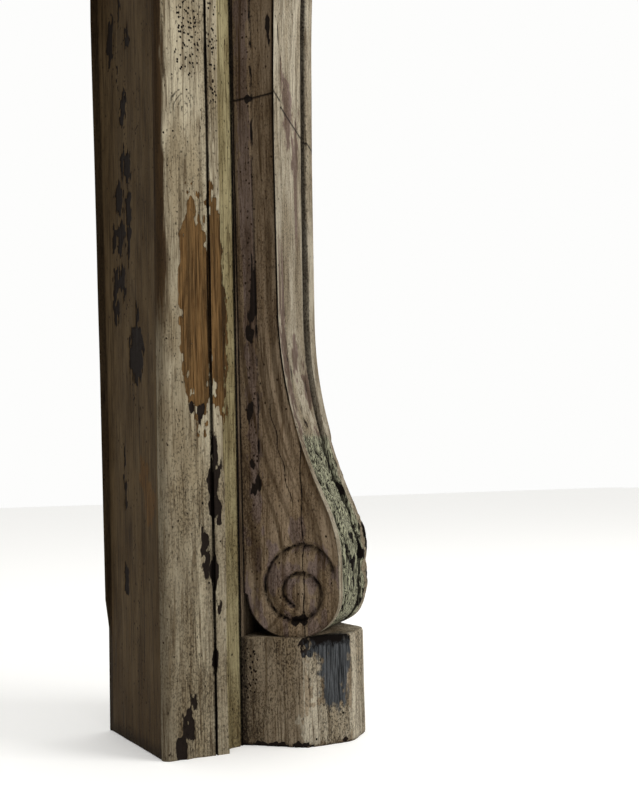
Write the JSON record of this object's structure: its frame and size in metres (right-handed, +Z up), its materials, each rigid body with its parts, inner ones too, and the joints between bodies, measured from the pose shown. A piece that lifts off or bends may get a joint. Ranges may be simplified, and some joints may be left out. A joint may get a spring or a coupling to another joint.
{
  "type": "fireplace mantelpiece",
  "caption": "Carved and painted wooden fireplace surround with canted scroll consoles on plinths, a serpentine frieze and a moulded shelf.",
  "frame": {"origin": "on the floor, at the middle of the bounding box's underside", "axes": "+X to the right along the wall for someone facing the fireplace, +Y into the wall, +Z up"},
  "size_m": [1.4952, 0.242, 1.08],
  "materials": {
    "cream_paint": "old cream paint on wood, worn to the grain",
    "olive_paint": "old olive paint on wood",
    "shaded_paint": "brown-grey paint on wood, chipped",
    "worn_paint": "brown paint on wood, rubbed and cracked"
  },
  "bodies": {
    "root": {"shelf": "cream_paint", "frieze": "cream_paint", "right_stile": "cream_paint", "right_reveal": "shaded_paint", "right_return": "olive_paint", "right_plinth": "worn_paint", "right_console_lower": "worn_paint", "right_console_upper": "worn_paint", "left_stile": "cream_paint", "left_reveal": "shaded_paint", "left_return": "olive_paint", "left_plinth": "worn_paint", "left_console": "worn_paint"}
  },
  "joints": []
}
